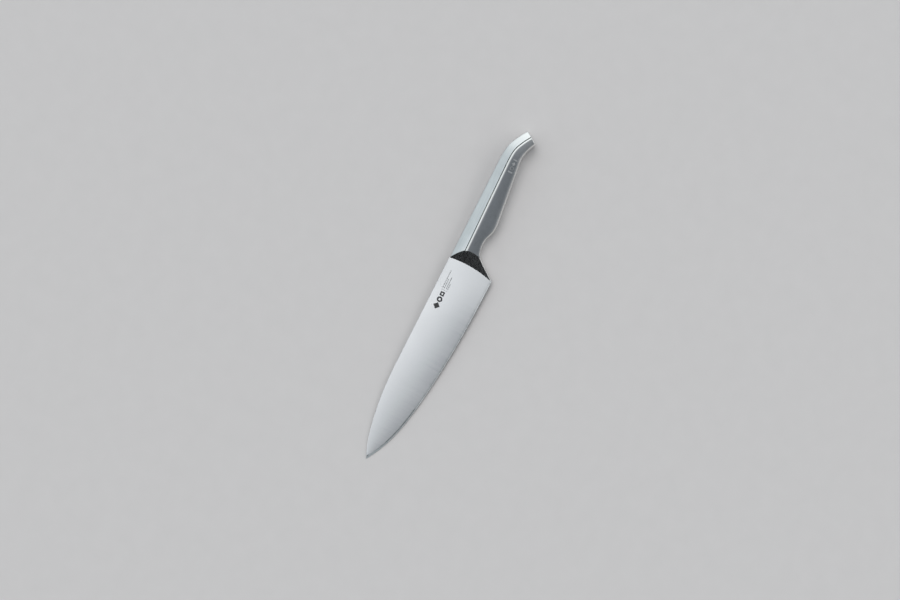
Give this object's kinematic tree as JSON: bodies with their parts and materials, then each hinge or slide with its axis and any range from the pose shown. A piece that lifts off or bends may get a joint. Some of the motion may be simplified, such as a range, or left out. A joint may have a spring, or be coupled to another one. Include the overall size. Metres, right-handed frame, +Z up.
{
  "type": "chef knife",
  "caption": "All-steel chef knife: tall curved blade, ramped full bolster and hollow welded handle that widens to a hooked butt.",
  "frame": {"origin": "on the surface the knife lies on, under the centre of its box", "axes": "+X from the tip towards the butt, +Y from the cutting edge towards the spine, +Z up through the knife's left side; the knife lies on its right side, pitched 1.72 degrees so that the blade's end and the widest part of the handle touch the surface"},
  "size_m": [0.3396, 0.0452, 0.0193],
  "materials": {
    "blade_steel": "satin",
    "bolster_steel": "satin",
    "cap_steel": "satin",
    "grip_steel": "matte",
    "inner_steel": "satin",
    "ballast_fill": "matte"
  },
  "bodies": {
    "root": {"blade": "blade_steel", "bolster": "bolster_steel", "spine_cap": "cap_steel", "grip_shell_left": "grip_steel", "grip_shell_right": "grip_steel", "tang_support": "inner_steel", "ballast": "ballast_fill", "butt_cap": "cap_steel", "fill_plug": "inner_steel"}
  },
  "joints": []
}
